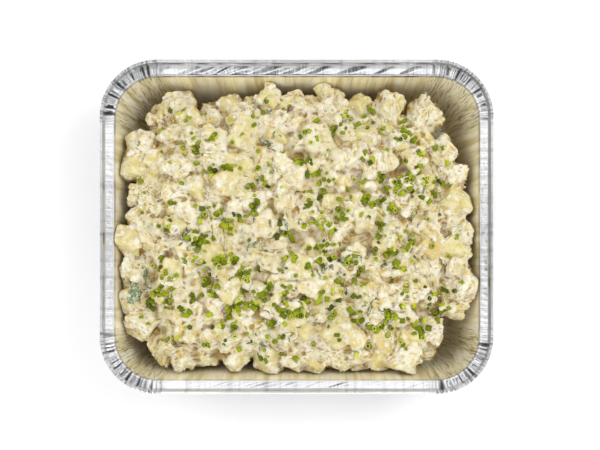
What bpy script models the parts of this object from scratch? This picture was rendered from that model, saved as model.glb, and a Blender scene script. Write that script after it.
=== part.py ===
"""Potato salad heaped in a rectangular aluminium foil tray with a rolled rim and pleated corners.

Metres, +Z up, +X along the tray's long side. The origin is under the tray's centre, on the surface
that the tray stands on. Two pieces: the tray is a thin pressed shell, and the salad is a mound of
cut potatoes strewn with chopped chives, lying in it.
"""

import math
import random

import bmesh
import bpy
import numpy as np
from mathutils import Matrix, Vector
from mathutils.bvhtree import BVHTree

# Tray, outside sizes
RIM_LENGTH = 0.318
RIM_WIDTH = 0.270
TRAY_HEIGHT = 0.062
FOIL = 0.0007

# Rim, from the rolled bead inwards: bead, short slope, flat flange, then the mouth
BEAD_RADIUS = 0.0015
BEAD_SHOULDER = 0.0009
STEP_DROP = 0.0030
STEP_RUN = 0.0010
FLANGE_WIDTH = 0.0078
MOUTH_ROUND = 0.0009
MOUTH_INSET = 2 * BEAD_RADIUS + STEP_RUN + FLANGE_WIDTH
FLANGE_HEIGHT = TRAY_HEIGHT - STEP_DROP

# Wall and base
WALL_DRAFT = 0.0130
BASE_ROUND = 0.0060
BASE_INSET = MOUTH_INSET + WALL_DRAFT + BASE_ROUND

# Corner radii in plan: at the rim, at the mouth and at the flat of the base
RIM_CORNER = 0.046
MOUTH_CORNER = RIM_CORNER - MOUTH_INSET
BASE_CORNER = 0.020

# Pleats pressed into the corners
PLEATS_PER_CORNER = 10
CORNER_STEPS = 2 * PLEATS_PER_CORNER
SIDE_STEPS = 3
FLANGE_PLEAT = 0.0005
WALL_PLEAT = 0.0006
SHARP_ANGLE = math.radians(30)

# Mound of salad: a flattened dome in height, cut to the tray's inside, and in plan as far as the
# potatoes along its edge reach
MIDDLE_Y = -0.005
FOOT_BEYOND = 0.006
EDGE_HEIGHT = 0.011
CROWN_HEIGHT = 0.056
DOME_POWER = 8
CORE_RINGS = 8
CORE_RING_CROWDING = 0.5
CORE_SIDES = 64
GAP = 0.0003
HEADROOM = 0.020

# Cut potatoes: those along the mound's edge as (x, y, z, size), then the rules for the others.
# POTATO_HALF and POTATO_CUT are shares of a potato's size and of its half size.
EDGE_POTATOES = (
    (-0.100, 0.101, 0.038, 0.023), (-0.073, 0.100, 0.028, 0.017), (-0.053, 0.101, 0.038, 0.018),
    (-0.039, 0.099, 0.038, 0.017), (-0.024, 0.107, 0.042, 0.021), (-0.002, 0.103, 0.040, 0.018),
    (0.014, 0.098, 0.040, 0.018), (0.022, 0.116, 0.042, 0.012), (0.031, 0.111, 0.040, 0.014),
    (0.038, 0.097, 0.040, 0.017), (0.052, 0.101, 0.038, 0.018), (0.075, 0.100, 0.042, 0.022),
    (0.105, 0.094, 0.042, 0.025), (0.121, 0.064, 0.044, 0.022), (0.127, 0.041, 0.044, 0.022),
    (0.130, 0.020, 0.046, 0.021), (0.133, -0.002, 0.048, 0.021), (0.128, -0.018, 0.048, 0.021),
    (0.130, -0.034, 0.050, 0.021), (0.137, -0.046, 0.050, 0.024), (0.129, -0.062, 0.044, 0.020),
    (0.111, -0.083, 0.042, 0.022), (0.108, -0.097, 0.036, 0.022), (0.090, -0.106, 0.040, 0.024),
    (0.069, -0.107, 0.040, 0.020), (0.051, -0.107, 0.040, 0.020), (0.033, -0.108, 0.040, 0.022),
    (0.016, -0.110, 0.040, 0.020), (-0.003, -0.109, 0.040, 0.022), (-0.023, -0.108, 0.040, 0.021),
    (-0.051, -0.108, 0.040, 0.022), (-0.075, -0.106, 0.038, 0.021), (-0.092, -0.108, 0.040, 0.022),
    (-0.109, -0.098, 0.038, 0.023), (-0.127, -0.078, 0.042, 0.023), (-0.135, -0.057, 0.046, 0.021),
    (-0.133, -0.036, 0.044, 0.022), (-0.138, -0.011, 0.050, 0.023), (-0.127, 0.009, 0.048, 0.022),
    (-0.127, 0.027, 0.048, 0.021), (-0.134, 0.053, 0.046, 0.023), (-0.127, 0.069, 0.044, 0.023),
    (-0.111, 0.086, 0.040, 0.022), (-0.114, 0.096, 0.034, 0.013),
)
POTATO_SEED = 21
POTATO_PITCH = 0.0203
POTATO_SIZE = (0.0165, 0.0260)
POTATO_HALF = (0.36, 0.56)
POTATO_CUT = (0.35, 0.80)
POTATO_SPREAD = 0.30
POTATO_SINK = (0.08, 0.30)
POTATO_LEVEL = 0.90
POTATO_APART = 0.0140

# Chopped chives, strewn in clusters as (x, y, count): the solid carries the largest of them
CHIVE_CLUSTERS = (
    (-0.086, 0.064, 9), (-0.067, 0.070, 5), (-0.070, 0.043, 5), (-0.050, 0.047, 3), (-0.034, 0.088, 3),
    (-0.028, 0.036, 3), (-0.025, 0.054, 3), (0.005, 0.048, 10), (0.009, 0.073, 4), (0.038, 0.093, 4),
    (0.061, 0.099, 4), (0.050, 0.085, 3), (0.032, 0.077, 4), (0.058, 0.056, 4), (0.066, 0.078, 3),
    (0.075, 0.070, 3), (0.090, 0.082, 8), (0.095, 0.066, 5), (0.116, 0.064, 3), (0.090, 0.041, 16),
    (0.084, 0.030, 6), (0.105, 0.038, 5), (0.118, 0.036, 4), (0.109, 0.027, 3), (0.128, 0.037, 3),
    (0.071, 0.028, 5), (0.069, 0.043, 4), (0.048, 0.033, 5), (0.055, 0.025, 4), (0.017, 0.026, 3),
    (0.011, 0.018, 3), (0.027, 0.036, 2), (0.061, 0.018, 4), (0.076, 0.016, 7), (0.068, 0.001, 5),
    (0.051, 0.008, 1), (0.035, 0.005, 4), (0.025, -0.001, 6), (0.017, 0.006, 4), (0.009, 0.001, 3),
    (0.017, -0.015, 7), (0.021, -0.027, 5), (0.009, -0.033, 2), (0.078, -0.019, 10), (0.091, -0.011, 6),
    (0.088, -0.032, 4), (0.079, -0.034, 3), (0.049, -0.029, 4), (0.038, -0.024, 3), (0.047, -0.039, 4),
    (0.063, -0.025, 3), (-0.009, -0.007, 7), (-0.005, -0.024, 4), (-0.051, 0.004, 11),
    (-0.060, 0.012, 4), (-0.076, 0.011, 5), (-0.032, 0.017, 5), (-0.039, 0.009, 3),
    (-0.081, -0.013, 11), (-0.071, -0.015, 4), (-0.063, -0.025, 6), (-0.050, -0.025, 6),
    (-0.042, -0.041, 14), (-0.075, -0.046, 7), (-0.068, -0.039, 1), (-0.083, -0.028, 4),
    (-0.084, -0.057, 3), (-0.068, -0.055, 4), (-0.046, -0.062, 14), (-0.028, -0.056, 8),
    (-0.011, -0.058, 6), (-0.033, -0.066, 5), (-0.053, -0.067, 6), (-0.005, -0.073, 9),
    (-0.020, -0.079, 3), (-0.063, -0.081, 3), (-0.052, -0.085, 4), (0.008, -0.063, 5),
    (0.022, -0.057, 5), (-0.014, -0.087, 5), (0.033, -0.070, 3), (0.050, -0.073, 8), (0.061, -0.082, 2),
    (0.071, -0.073, 11), (0.087, -0.062, 6), (0.089, -0.074, 2), (0.101, -0.080, 7), (0.113, -0.083, 6),
    (0.096, -0.089, 4), (0.117, -0.066, 4), (0.126, -0.071, 4), (0.111, -0.057, 3), (0.110, -0.095, 5),
    (0.120, -0.049, 4), (0.093, -0.047, 3), (-0.112, -0.033, 6), (-0.111, -0.053, 10),
    (-0.099, -0.041, 3), (-0.121, -0.063, 3), (-0.104, -0.065, 3), (-0.088, -0.076, 5),
    (-0.106, 0.001, 5), (-0.126, -0.074, 3), (-0.104, -0.091, 3), (-0.073, -0.095, 3),
    (-0.006, -0.047, 2), (0.049, -0.053, 2), (0.032, -0.055, 3), (-0.021, -0.108, 1),
    (-0.004, -0.108, 2), (0.059, -0.099, 2), (-0.047, -0.098, 1), (-0.136, -0.015, 1),
)
CHIVE_SEED = 8
CHIVES_IN_SOLID = 110
CHIVE_RADIUS = (0.0011, 0.0020)
CHIVE_LENGTH = (0.0024, 0.0062)
CHIVE_TILT = 0.5
CHIVE_SIDES = 5
CHIVE_SPREAD = 0.0016
CHIVE_SPREAD_GROWTH = 0.0009
CHIVE_LEVEL = 0.95
CHIVE_STRAYS = 150
CHIVE_RAISE = 0.4

MATERIALS = {
    "foil_tray": ((0.86, 0.87, 0.88, 1.0), 1.0, 0.28),
    "potato_salad": ((0.87, 0.80, 0.58, 1.0), 0.0, 0.50),
}


def clear_scene():
    for obj in list(bpy.data.objects):
        bpy.data.objects.remove(obj)


def new_collection(name):
    collection = bpy.data.collections.new(name)
    bpy.context.scene.collection.children.link(collection)
    return collection


def new_material(name):
    colour, metallic, roughness = MATERIALS[name]
    material = bpy.data.materials.new(name)
    material.use_nodes = True
    shader = material.node_tree.nodes["Principled BSDF"]
    shader.inputs["Base Color"].default_value = colour
    shader.inputs["Metallic"].default_value = metallic
    shader.inputs["Roughness"].default_value = roughness
    material.diffuse_color = colour
    return material


def object_from(bm, name, collection):
    mesh = bpy.data.meshes.new(name)
    bm.to_mesh(mesh)
    bm.free()
    obj = bpy.data.objects.new(name, mesh)
    collection.objects.link(obj)
    return obj


def apply_boolean(obj, operation, operand=None, collection=None):
    """Joins obj with, or cuts it by, one object or all of a collection, and removes what was used."""
    boolean = obj.modifiers.new(operation.title(), "BOOLEAN")
    boolean.operation = operation
    if collection:
        boolean.operand_type = "COLLECTION"
        boolean.collection = collection
    else:
        boolean.object = operand
    graph = bpy.context.evaluated_depsgraph_get()
    mesh = bpy.data.meshes.new_from_object(obj.evaluated_get(graph))
    obj.modifiers.clear()
    obj.data = mesh
    for used in list(collection.objects) if collection else [operand]:
        bpy.data.objects.remove(used)


# Tray


def corner_radius(inset):
    """Plan radius of the tray's corners at an inset from the rim's outermost line."""
    if inset <= MOUTH_INSET:
        return RIM_CORNER - inset
    share = (inset - MOUTH_INSET) / (BASE_INSET - MOUTH_INSET)
    return MOUTH_CORNER + (BASE_CORNER - MOUTH_CORNER) * min(share, 1.0)


def ring(inset, height, pleat_in=0.0, pleat_up=0.0):
    """One level of the tray: a rounded rectangle, zigzag by the pleats in its corners."""
    radius = corner_radius(inset)
    reach_x = RIM_LENGTH / 2 - inset - radius
    reach_y = RIM_WIDTH / 2 - inset - radius
    centres = [(reach_x, reach_y), (-reach_x, reach_y), (-reach_x, -reach_y), (reach_x, -reach_y)]
    points = []
    for quadrant, centre in enumerate(centres):
        for step in range(CORNER_STEPS + 1):
            angle = math.radians(90) * (quadrant + step / CORNER_STEPS)
            at_end = step in (0, CORNER_STEPS)
            side = 0 if at_end else (-1) ** step
            out = radius + side * pleat_in
            points.append(Vector((
                centre[0] + out * math.cos(angle),
                centre[1] + out * math.sin(angle),
                height + side * pleat_up,
            )))
        turn = math.radians(90) * (quadrant + 1)
        following = centres[(quadrant + 1) % 4]
        start = points[-1]
        end = Vector((
            following[0] + radius * math.cos(turn),
            following[1] + radius * math.sin(turn),
            height,
        ))
        points += [start.lerp(end, k / (SIDE_STEPS + 1)) for k in range(1, SIDE_STEPS + 1)]
    return points


def tray_section():
    """The wall's cross-section as (inset, height, pleat inwards, pleat upwards), from the floor inside,
    over the rolled bead and back under the base."""
    step_foot = 2 * BEAD_RADIUS + STEP_RUN
    base_turn = BASE_ROUND * (1 - math.cos(math.radians(45)))
    return [
        (BASE_INSET, FOIL, 0, 0),
        (MOUTH_INSET + WALL_DRAFT + base_turn, FOIL + base_turn, 0, 0),
        (MOUTH_INSET + WALL_DRAFT, FOIL + BASE_ROUND, WALL_PLEAT / 2, 0),
        (MOUTH_INSET + MOUTH_ROUND, FLANGE_HEIGHT - MOUTH_ROUND, WALL_PLEAT, 0),
        (MOUTH_INSET, FLANGE_HEIGHT, 0, FLANGE_PLEAT),
        (step_foot, FLANGE_HEIGHT, 0, FLANGE_PLEAT),
        (2 * BEAD_RADIUS, TRAY_HEIGHT - BEAD_SHOULDER, 0, 0),
        (BEAD_RADIUS, TRAY_HEIGHT, 0, 0),
        (0, TRAY_HEIGHT - BEAD_RADIUS, 0, 0),
        (BEAD_RADIUS, TRAY_HEIGHT - 2 * BEAD_RADIUS, 0, 0),
        (step_foot - FOIL / 2, FLANGE_HEIGHT - FOIL, 0, FLANGE_PLEAT),
        (MOUTH_INSET - FOIL, FLANGE_HEIGHT - FOIL, 0, FLANGE_PLEAT),
        (MOUTH_INSET + MOUTH_ROUND - FOIL, FLANGE_HEIGHT - MOUTH_ROUND - FOIL, WALL_PLEAT, 0),
        (MOUTH_INSET + WALL_DRAFT - FOIL, FOIL + BASE_ROUND, WALL_PLEAT / 2, 0),
        (MOUTH_INSET + WALL_DRAFT + base_turn - FOIL, base_turn, 0, 0),
        (BASE_INSET, 0, 0, 0),
    ]


def loft(bm, rings):
    """Skins closed rings of equal length one after another, and fills the first and the last."""
    levels = [[bm.verts.new(point) for point in points] for points in rings]
    for lower, upper in zip(levels, levels[1:]):
        for i, vertex in enumerate(lower):
            j = (i + 1) % len(lower)
            bm.faces.new((vertex, lower[j], upper[j], upper[i]))
    bm.faces.new(levels[0])
    bm.faces.new(levels[-1])
    bmesh.ops.recalc_face_normals(bm, faces=bm.faces)


def make_tray(collection):
    bm = bmesh.new()
    loft(bm, [ring(*station) for station in tray_section()])
    tray = object_from(bm, "foil_tray", collection)
    tray.data.materials.append(new_material("foil_tray"))
    tray.data.shade_smooth()
    tray.data.set_sharp_from_angle(angle=SHARP_ANGLE)


def make_cavity(collection):
    """The room inside the tray, clear of its pleats and carried on upwards, which the mound is cut to."""
    side = GAP + WALL_PLEAT
    levels = [
        (BASE_INSET + side, FOIL + GAP),
        (MOUTH_INSET + WALL_DRAFT + side, FOIL + BASE_ROUND),
        (MOUTH_INSET + MOUTH_ROUND + side, FLANGE_HEIGHT - MOUTH_ROUND),
        (MOUTH_INSET + MOUTH_ROUND + side, CROWN_HEIGHT + HEADROOM),
    ]
    bm = bmesh.new()
    loft(bm, [ring(*level) for level in levels])
    return object_from(bm, "cavity", collection)


# Mound


def mound_foot():
    """The mound's foot, just beyond the potatoes of its edge, as angles and distances from its middle."""
    rows = [(math.atan2(y - MIDDLE_Y, x), math.hypot(x, y - MIDDLE_Y)) for x, y, _, _ in EDGE_POTATOES]
    return np.array([(angle, distance + FOOT_BEYOND) for angle, distance in sorted(rows)]).T


FOOT_ANGLES, FOOT_DISTANCES = mound_foot()


def foot_distance(angle):
    return float(np.interp(angle, FOOT_ANGLES, FOOT_DISTANCES, period=math.tau))


def heap_level(x, y):
    """0 over the middle of the mound and 1 round its foot."""
    return math.hypot(x, y - MIDDLE_Y) / foot_distance(math.atan2(y - MIDDLE_Y, x))


def level_height(level):
    """Height of the mound's smooth top under the potatoes."""
    return EDGE_HEIGHT + (CROWN_HEIGHT - EDGE_HEIGHT) * math.sqrt(1 - min(level, 1.0) ** DOME_POWER)


def make_core(collection):
    """The smooth body of the mound, from its foot on the tray's floor up to its crown."""
    stations = [(1.0, 0.0)]
    for step in range(CORE_RINGS, 0, -1):
        level = (step / CORE_RINGS) ** CORE_RING_CROWDING
        stations.append((level, level_height(level)))
    rings = []
    for level, height in stations:
        points = []
        for k in range(CORE_SIDES):
            angle = math.tau * k / CORE_SIDES
            reach = foot_distance(angle) * level
            points.append(Vector((reach * math.cos(angle), MIDDLE_Y + reach * math.sin(angle), height)))
        rings.append(points)
    bm = bmesh.new()
    loft(bm, rings)
    return object_from(bm, "potato_salad", collection)


def potato_places():
    """Centre, size and turn of each cut potato: the edge's own, then a jittered triangular grid."""
    draw = random.Random(POTATO_SEED)
    plan = list(EDGE_POTATOES)
    row_gap = POTATO_PITCH * math.sqrt(3) / 2
    rows = math.ceil(RIM_WIDTH / 2 / row_gap)
    columns = math.ceil(RIM_LENGTH / 2 / POTATO_PITCH)
    for row in range(-rows, rows + 1):
        for column in range(-columns, columns + 1):
            jitter = [draw.uniform(-POTATO_SPREAD, POTATO_SPREAD) * POTATO_PITCH for _ in range(2)]
            x = (column + 0.5 * (row % 2)) * POTATO_PITCH + jitter[0]
            y = row * row_gap + jitter[1]
            size = draw.uniform(*POTATO_SIZE)
            z = level_height(heap_level(x, y)) - size * draw.uniform(*POTATO_SINK)
            apart = min(math.hypot(x - edge[0], y - edge[1]) for edge in EDGE_POTATOES)
            if apart > POTATO_APART and heap_level(x, y) < POTATO_LEVEL:
                plan.append((x, y, z, size))
    turns = [[draw.uniform(0, math.tau) for _ in range(3)] for _ in plan]
    return [(Vector((x, y, z)), size, turn) for (x, y, z, size), turn in zip(plan, turns)]


def make_potato(place, index, collection):
    """An unevenly cut cube of potato: the hull of a box with each corner cut off at its own depth."""
    centre, size, turn = place
    draw = random.Random(index)
    half = [size * draw.uniform(*POTATO_HALF) for _ in range(3)]
    bm = bmesh.new()
    for corner in range(8):
        signs = [1 if corner >> bit & 1 else -1 for bit in range(3)]
        kept = corner % 3
        for axis in range(3):
            if axis == kept:
                continue
            point = Vector([sign * reach for sign, reach in zip(signs, half)])
            point[axis] *= draw.uniform(*POTATO_CUT)
            bm.verts.new(point)
    hull = bmesh.ops.convex_hull(bm, input=bm.verts)
    bmesh.ops.delete(bm, geom=hull["geom_interior"] + hull["geom_unused"], context="VERTS")
    bmesh.ops.recalc_face_normals(bm, faces=bm.faces)
    potato = object_from(bm, f"potato_{index:03d}", collection)
    rotation = Matrix.Rotation(turn[0], 4, "Z") @ Matrix.Rotation(turn[1], 4, "X")
    potato.data.transform(Matrix.Translation(centre) @ rotation @ Matrix.Rotation(turn[2], 4, "Y"))


def chive_places():
    """Plan position, turn, tilt, radius and length of each chopped chive, the largest first."""
    draw = random.Random(CHIVE_SEED)
    places = []
    for middle_x, middle_y, count in CHIVE_CLUSTERS:
        spread = CHIVE_SPREAD + CHIVE_SPREAD_GROWTH * math.sqrt(count)
        for _ in range(count):
            x, y = draw.gauss(middle_x, spread), draw.gauss(middle_y, spread)
            turn, tilt = draw.uniform(0, math.tau), draw.uniform(-CHIVE_TILT, CHIVE_TILT)
            radius, length = draw.uniform(*CHIVE_RADIUS), draw.uniform(*CHIVE_LENGTH)
            places.append((x, y, turn, tilt, radius, length))
    for _ in range(CHIVE_STRAYS):
        x, y = (draw.uniform(-1, 1) * reach / 2 for reach in (RIM_LENGTH, RIM_WIDTH))
        turn, tilt = draw.uniform(0, math.tau), draw.uniform(-CHIVE_TILT, CHIVE_TILT)
        places.append((x, y, turn, tilt, draw.uniform(*CHIVE_RADIUS), draw.uniform(*CHIVE_LENGTH)))
    places = [place for place in places if heap_level(place[0], place[1]) < CHIVE_LEVEL]
    return sorted(places, key=lambda place: -place[4] * place[5])


def make_chive(place, index, surface, collection):
    """A short cut of chive lying on the mound and sunk a little into it."""
    x, y, turn, tilt, radius, length = place
    above = Vector((x, y, CROWN_HEIGHT + HEADROOM))
    point, normal, _, _ = surface.ray_cast(above, Vector((0, 0, -1)))
    bm = bmesh.new()
    bmesh.ops.create_cone(
        bm, cap_ends=True, segments=CHIVE_SIDES, radius1=radius, radius2=radius, depth=length
    )
    along_x = Matrix.Rotation(math.radians(90), 4, "Y")
    lie = Matrix.Rotation(turn, 4, "Z") @ Matrix.Rotation(tilt, 4, "Y") @ along_x
    onto = Vector((0, 0, 1)).rotation_difference(normal).to_matrix().to_4x4()
    raised = Matrix.Translation(point + normal * radius * CHIVE_RAISE)
    bmesh.ops.transform(bm, matrix=raised @ onto @ lie, verts=bm.verts)
    object_from(bm, f"chive_{index:03d}", collection)


def surface_of(obj):
    bm = bmesh.new()
    bm.from_mesh(obj.data)
    tree = BVHTree.FromBMesh(bm)
    bm.free()
    return tree


def keep_largest_body(obj):
    """Drops loose scraps that a cut can leave."""
    bm = bmesh.new()
    bm.from_mesh(obj.data)
    left = set(bm.verts)
    bodies = []
    while left:
        body, front = set(), [left.pop()]
        while front:
            vertex = front.pop()
            body.add(vertex)
            for edge in vertex.link_edges:
                other = edge.other_vert(vertex)
                if other in left:
                    left.discard(other)
                    front.append(other)
        bodies.append(body)
    largest = max(bodies, key=len)
    scraps = [vertex for body in bodies if body is not largest for vertex in body]
    bmesh.ops.delete(bm, geom=scraps, context="VERTS")
    bm.to_mesh(obj.data)
    bm.free()


def make_salad(collection):
    salad = make_core(collection)
    pieces = new_collection("pieces")
    for index, place in enumerate(potato_places()):
        make_potato(place, index, pieces)
    apply_boolean(salad, "UNION", collection=pieces)
    cutters = new_collection("cutters")
    apply_boolean(salad, "INTERSECT", operand=make_cavity(cutters))
    keep_largest_body(salad)
    surface = surface_of(salad)
    for index, place in enumerate(chive_places()[:CHIVES_IN_SOLID]):
        make_chive(place, index, surface, pieces)
    apply_boolean(salad, "UNION", collection=pieces)
    keep_largest_body(salad)
    salad.data.materials.append(new_material("potato_salad"))


def main():
    clear_scene()
    collection = new_collection("potato_salad_in_foil_tray")
    make_tray(collection)
    make_salad(collection)


main()
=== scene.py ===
"""Looks of a potato salad in its foil tray, seen from above.

The tray is skinned again as thin pleated foil. The salad is built from the same cut potatoes as the
solid, joined by a ragged creamy dressing, with chopped chives, red onion and dark herb as real pieces.
"""

import math
import random

import bmesh
import bpy
import numpy as np
from mathutils import Matrix, Vector
from mathutils.bvhtree import BVHTree


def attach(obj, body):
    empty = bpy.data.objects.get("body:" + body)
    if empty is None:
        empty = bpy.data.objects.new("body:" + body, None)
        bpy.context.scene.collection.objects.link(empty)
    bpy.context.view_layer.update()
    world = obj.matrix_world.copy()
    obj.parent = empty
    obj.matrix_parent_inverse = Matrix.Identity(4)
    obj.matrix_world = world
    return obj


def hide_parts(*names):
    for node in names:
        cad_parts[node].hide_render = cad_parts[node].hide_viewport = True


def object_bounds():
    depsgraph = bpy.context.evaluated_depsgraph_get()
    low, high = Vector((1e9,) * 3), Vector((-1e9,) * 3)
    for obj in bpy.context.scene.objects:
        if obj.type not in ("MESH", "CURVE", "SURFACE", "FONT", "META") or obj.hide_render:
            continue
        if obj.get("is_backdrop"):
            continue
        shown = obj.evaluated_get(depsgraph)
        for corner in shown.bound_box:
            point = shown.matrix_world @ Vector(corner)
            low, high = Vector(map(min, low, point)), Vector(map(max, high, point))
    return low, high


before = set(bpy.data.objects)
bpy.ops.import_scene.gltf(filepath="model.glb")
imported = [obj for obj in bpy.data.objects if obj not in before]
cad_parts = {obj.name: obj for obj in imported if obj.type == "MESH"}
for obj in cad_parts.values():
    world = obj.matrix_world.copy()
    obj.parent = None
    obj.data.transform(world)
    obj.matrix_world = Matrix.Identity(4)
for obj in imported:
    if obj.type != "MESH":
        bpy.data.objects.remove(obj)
CAD_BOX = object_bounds()


def in_metres(rows, lengths, parts=1000):
    """Rows whose first values are lengths, given in parts of a metre."""
    return [tuple(value / parts for value in row[:lengths]) + row[lengths:] for row in rows]


# Camera: straight above, with the photo's field of view
CAMERA_PLACE = (0.0028, -0.0470, 0.643)
CAMERA_LENS = 43.3
CAMERA_SENSOR = 36.0
CAMERA_SHIFT_Y = 0.10

# Tray sizes, as in the solid
RIM_LENGTH = 0.318
RIM_WIDTH = 0.270
TRAY_HEIGHT = 0.062
FOIL = 0.0007
BEAD_RADIUS = 0.0015
STEP_DROP = 0.0030
STEP_RUN = 0.0010
FLANGE_WIDTH = 0.0078
MOUTH_ROUND = 0.0009
MOUTH_INSET = 2 * BEAD_RADIUS + STEP_RUN + FLANGE_WIDTH
FLANGE_HEIGHT = TRAY_HEIGHT - STEP_DROP
WALL_DRAFT = 0.0130
BASE_ROUND = 0.0060
BASE_INSET = MOUTH_INSET + WALL_DRAFT + BASE_ROUND
RIM_CORNER = 0.046
MOUTH_CORNER = RIM_CORNER - MOUTH_INSET
BASE_CORNER = 0.020

# The tray's skin: its thickness, how finely it is divided, and how far pleats fade out past a corner
SHEET = 0.0005
CORNER_POINTS = 124
SIDE_PITCH = 0.0015
CORNER_FADE = 0.011
WALL_ROWS = 17
FLANGE_ROWS = 10
# Lines of the step below the bead: across and up from its foot, part, share of that part
STEP_LINES = (
    (0.0003, 0.0, "flange", 0.95), (-0.0002, 0.0004, "step", 0.2), (-0.0006, 0.0014, "step", 0.6),
)

# Folds of the foil: seed, least and greatest spacing, depth, drift along the outline, blur
FOLDS = {
    "pleat": (11, (0.0008, 0.0030), 0.00042, 0.0040, 0.0),
    "crease": (12, (0.0030, 0.0075), 0.00022, -0.0040, 0.0),
    "swell": (13, (0.0120, 0.0300), 0.00055, 0.0, 0.0060),
    "streak": (14, (0.0025, 0.0090), 0.00008, 0.0020, 0.0006),
    "long_wrinkle": (15, (0.0045, 0.0170), 0.00026, 0.0140, 0.0010),
    "short_wrinkle": (16, (0.0013, 0.0032), 0.00019, 0.0012, 0.0002),
    "bite": (17, (0.0010, 0.0022), 0.00028, 0.0, 0.0),
    "ripple": (18, (0.0040, 0.0120), 0.00005, 0.0, 0.0020),
}
# Depth of the corners' pleat floors at which their painted shade is full
PLEAT_SHADE_DEPTH = 0.00045
# How much of the corners' pleats each part has: at its start, at its end, power of its share between
FOLD_RISE = {
    "wall": (0.0, 1.0, 0.8), "mouth": (1.0, 1.0, 1.0), "flange": (1.0, 1.5, 1.0), "step": (0.9, 0.9, 1.0),
    "bead": (0.25, 0.25, 1.0),
}
# The flange's wrinkles: least share, and how far their swelling is shifted outwards
WRINKLE_RISE = (0.35, 0.15)
# Where the flange's edge with painted shade and the bead's inner side, also with painted shade, begin and
# end, as shares
EDGE_SPAN = (0.50, 0.70)
BEAD_SPAN = (0.16, 0.06)

# Differences between the tray's right, far, left and near side: how far the mouth stands out, how strong
# the flange's creases are, and the shares of painted shade and of satin foil
MOUTH_SHIFT = (0.0022, 0.0, 0.0013, 0.0020)
FLANGE_CREASING = (0.75, 0.90, 0.40, 0.30)
MOUTH_SHADE = (0.0, 0.45, 0.0, 0.0)
FLANGE_EDGE_SHADE = (0.0, 0.38, 0.0, 0.0)
MOUTH_SATIN = (0.30, 0.0, 0.35, 0.70)
# Satin foil in the corners, and the painted shade of the bead's inner side, which swings from side to
# side: mean, swing and turn of the swing
MOUTH_SATIN_CORNER = 0.85
STEP_SATIN = 0.50
BEAD_SHADE = (0.42, 0.32, 0.5)
# How far the creases of the corner walls wander sideways
CREASE_WANDER = 0.0045
# Heights between which the outside's streaks fade out below the flange
OUTSIDE_TOP = (0.0545, 0.0580)

# Mound sizes, as in the solid, with the skin's clearance to the wall and floor
MIDDLE_Y = -0.005
FOOT_BEYOND = 0.006
EDGE_HEIGHT = 0.011
CROWN_HEIGHT = 0.056
DOME_POWER = 8
CORE_RINGS = 8
CORE_RING_CROWDING = 0.5
CORE_SIDES = 64
HEADROOM = 0.020
WALL_GAP = 0.0009
FLOOR_GAP = 0.0003

# Cut potatoes, as in the solid: those along the mound's edge as (x, y, z, size) in millimetres, then
# the rules for the others
EDGE_POTATOES = in_metres((
    (-100, 101, 38, 23), (-73, 100, 28, 17), (-53, 101, 38, 18), (-39, 99, 38, 17), (-24, 107, 42, 21),
    (-2, 103, 40, 18), (14, 98, 40, 18), (22, 116, 42, 12), (31, 111, 40, 14), (38, 97, 40, 17),
    (52, 101, 38, 18), (75, 100, 42, 22), (105, 94, 42, 25), (121, 64, 44, 22), (127, 41, 44, 22),
    (130, 20, 46, 21), (133, -2, 48, 21), (128, -18, 48, 21), (130, -34, 50, 21), (137, -46, 50, 24),
    (129, -62, 44, 20), (111, -83, 42, 22), (108, -97, 36, 22), (90, -106, 40, 24), (69, -107, 40, 20),
    (51, -107, 40, 20), (33, -108, 40, 22), (16, -110, 40, 20), (-3, -109, 40, 22), (-23, -108, 40, 21),
    (-51, -108, 40, 22), (-75, -106, 38, 21), (-92, -108, 40, 22), (-109, -98, 38, 23),
    (-127, -78, 42, 23), (-135, -57, 46, 21), (-133, -36, 44, 22), (-138, -11, 50, 23),
    (-127, 9, 48, 22), (-127, 27, 48, 21), (-134, 53, 46, 23), (-127, 69, 44, 23), (-111, 86, 40, 22),
    (-114, 96, 34, 13),
), 4)
POTATO_SEED = 21
POTATO_PITCH = 0.0203
POTATO_SIZE = (0.0165, 0.0260)
POTATO_HALF = (0.36, 0.56)
POTATO_CUT = (0.35, 0.80)
POTATO_SPREAD = 0.30
POTATO_SINK = (0.08, 0.30)
POTATO_LEVEL = 0.90
POTATO_APART = 0.0140
# Potatoes whose cut faces stand clear of the dressing: their choice, the angle under which faces
# join, their edges, their relief and the cream on them
BARE_SEED = 9
BARE_LOOK_SEED = 12
BARE_SHARE = 0.16
BARE_FLAT = math.radians(14)
BARE_BEVEL = 0.0013
BARE_EDGE = 0.0024
BARE_RELIEF = 0.00045
BARE_UNEVEN = (0.0060, 81)
BARE_DRAG_SEED = 85
BARE_CREAM = (0.0, 0.20)

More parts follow.
